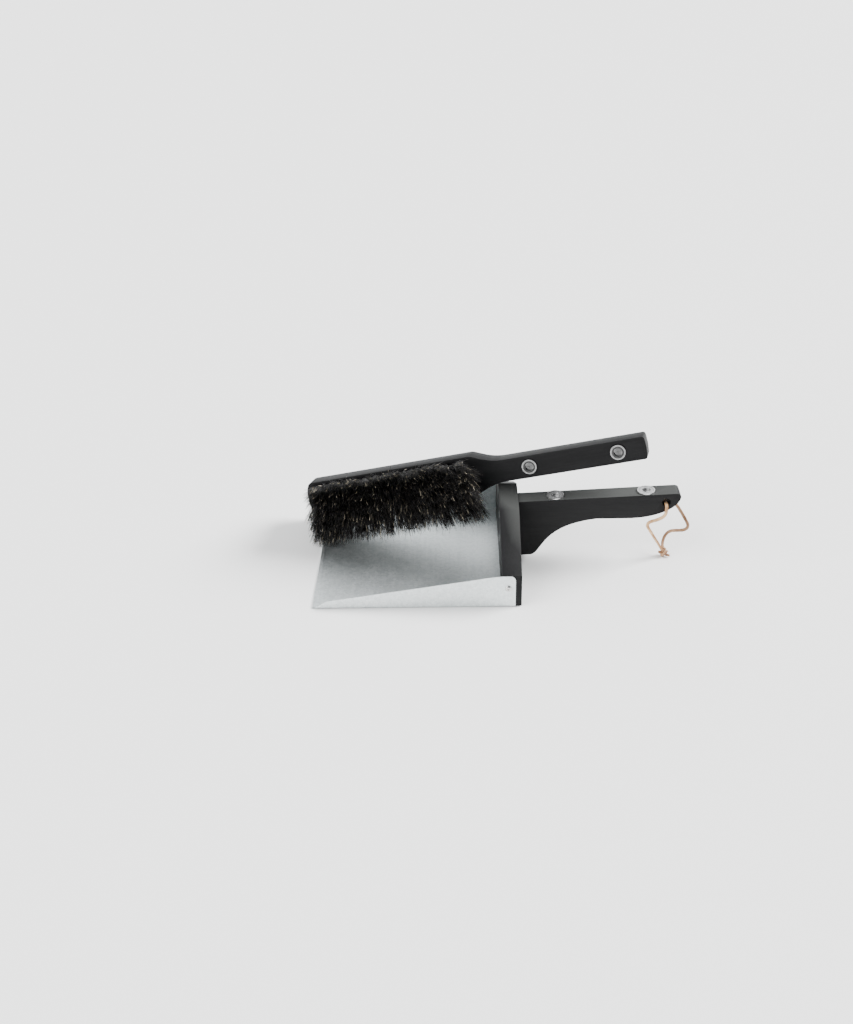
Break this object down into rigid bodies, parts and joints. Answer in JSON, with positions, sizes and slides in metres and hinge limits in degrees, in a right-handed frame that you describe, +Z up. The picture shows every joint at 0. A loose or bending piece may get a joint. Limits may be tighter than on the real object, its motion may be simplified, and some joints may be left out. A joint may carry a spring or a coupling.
{
  "type": "dustpan and brush",
  "caption": "Folded sheet-steel dustpan with a wooden backboard and bracket handle, and a wooden hand brush that docks on it with magnets; leather hanging loop.",
  "frame": {"origin": "on the underside of the tray, on its centre line, below the board's front face", "axes": "+X from the tray's mouth towards the handle's end, +Y across the tray, away from the viewer, +Z up from the table"},
  "size_m": [0.4194, 0.2038, 0.1394],
  "materials": {
    "galvanised_steel": "galvanised, fine spangle, satin",
    "black_wood": "black stained and matt lacquered",
    "zinc_plate": "bright zinc plated",
    "magnet": "nickel plated, satin",
    "bristle": "black horsehair with a few pale hairs",
    "leather": "natural tan, cut edges"
  },
  "bodies": {
    "dustpan": {"pan_sheet": "galvanised_steel", "backboard": "black_wood", "pan_handle": "black_wood", "handle_screws": "zinc_plate", "side_screw_near": "zinc_plate", "side_screw_far": "zinc_plate", "floor_screws": "zinc_plate", "pan_magnet_cup_front": "zinc_plate", "pan_magnet_ring_front": "magnet", "pan_magnet_screw_front": "zinc_plate", "pan_magnet_cup_rear": "zinc_plate", "pan_magnet_ring_rear": "magnet", "pan_magnet_screw_rear": "zinc_plate"},
    "brush": {"brush_body": "black_wood", "tuft_row_1": "bristle", "tuft_row_2": "bristle", "tuft_row_3": "bristle", "tuft_row_4": "bristle", "tuft_row_5": "bristle", "tuft_staples": "zinc_plate", "brush_magnet_cup_front": "zinc_plate", "brush_magnet_ring_front": "magnet", "brush_magnet_screw_front": "zinc_plate", "brush_magnet_cup_rear": "zinc_plate", "brush_magnet_ring_rear": "magnet", "brush_magnet_screw_rear": "zinc_plate"},
    "hanging_loop": {"lace_near": "leather", "lace_far": "leather", "lace_knot": "leather"}
  },
  "joints": [
    {"name": "brush_lift", "type": "slide", "parent": "dustpan", "child": "brush", "axis": [0, 0, 1], "range_m": [0, 0.25]},
    {"name": "loop_swing", "type": "hinge", "parent": "dustpan", "child": "hanging_loop", "pos_m": [0.17599, 0, 0.06867], "axis": [0, 1, 0], "range_deg": [-100, 20]}
  ]
}
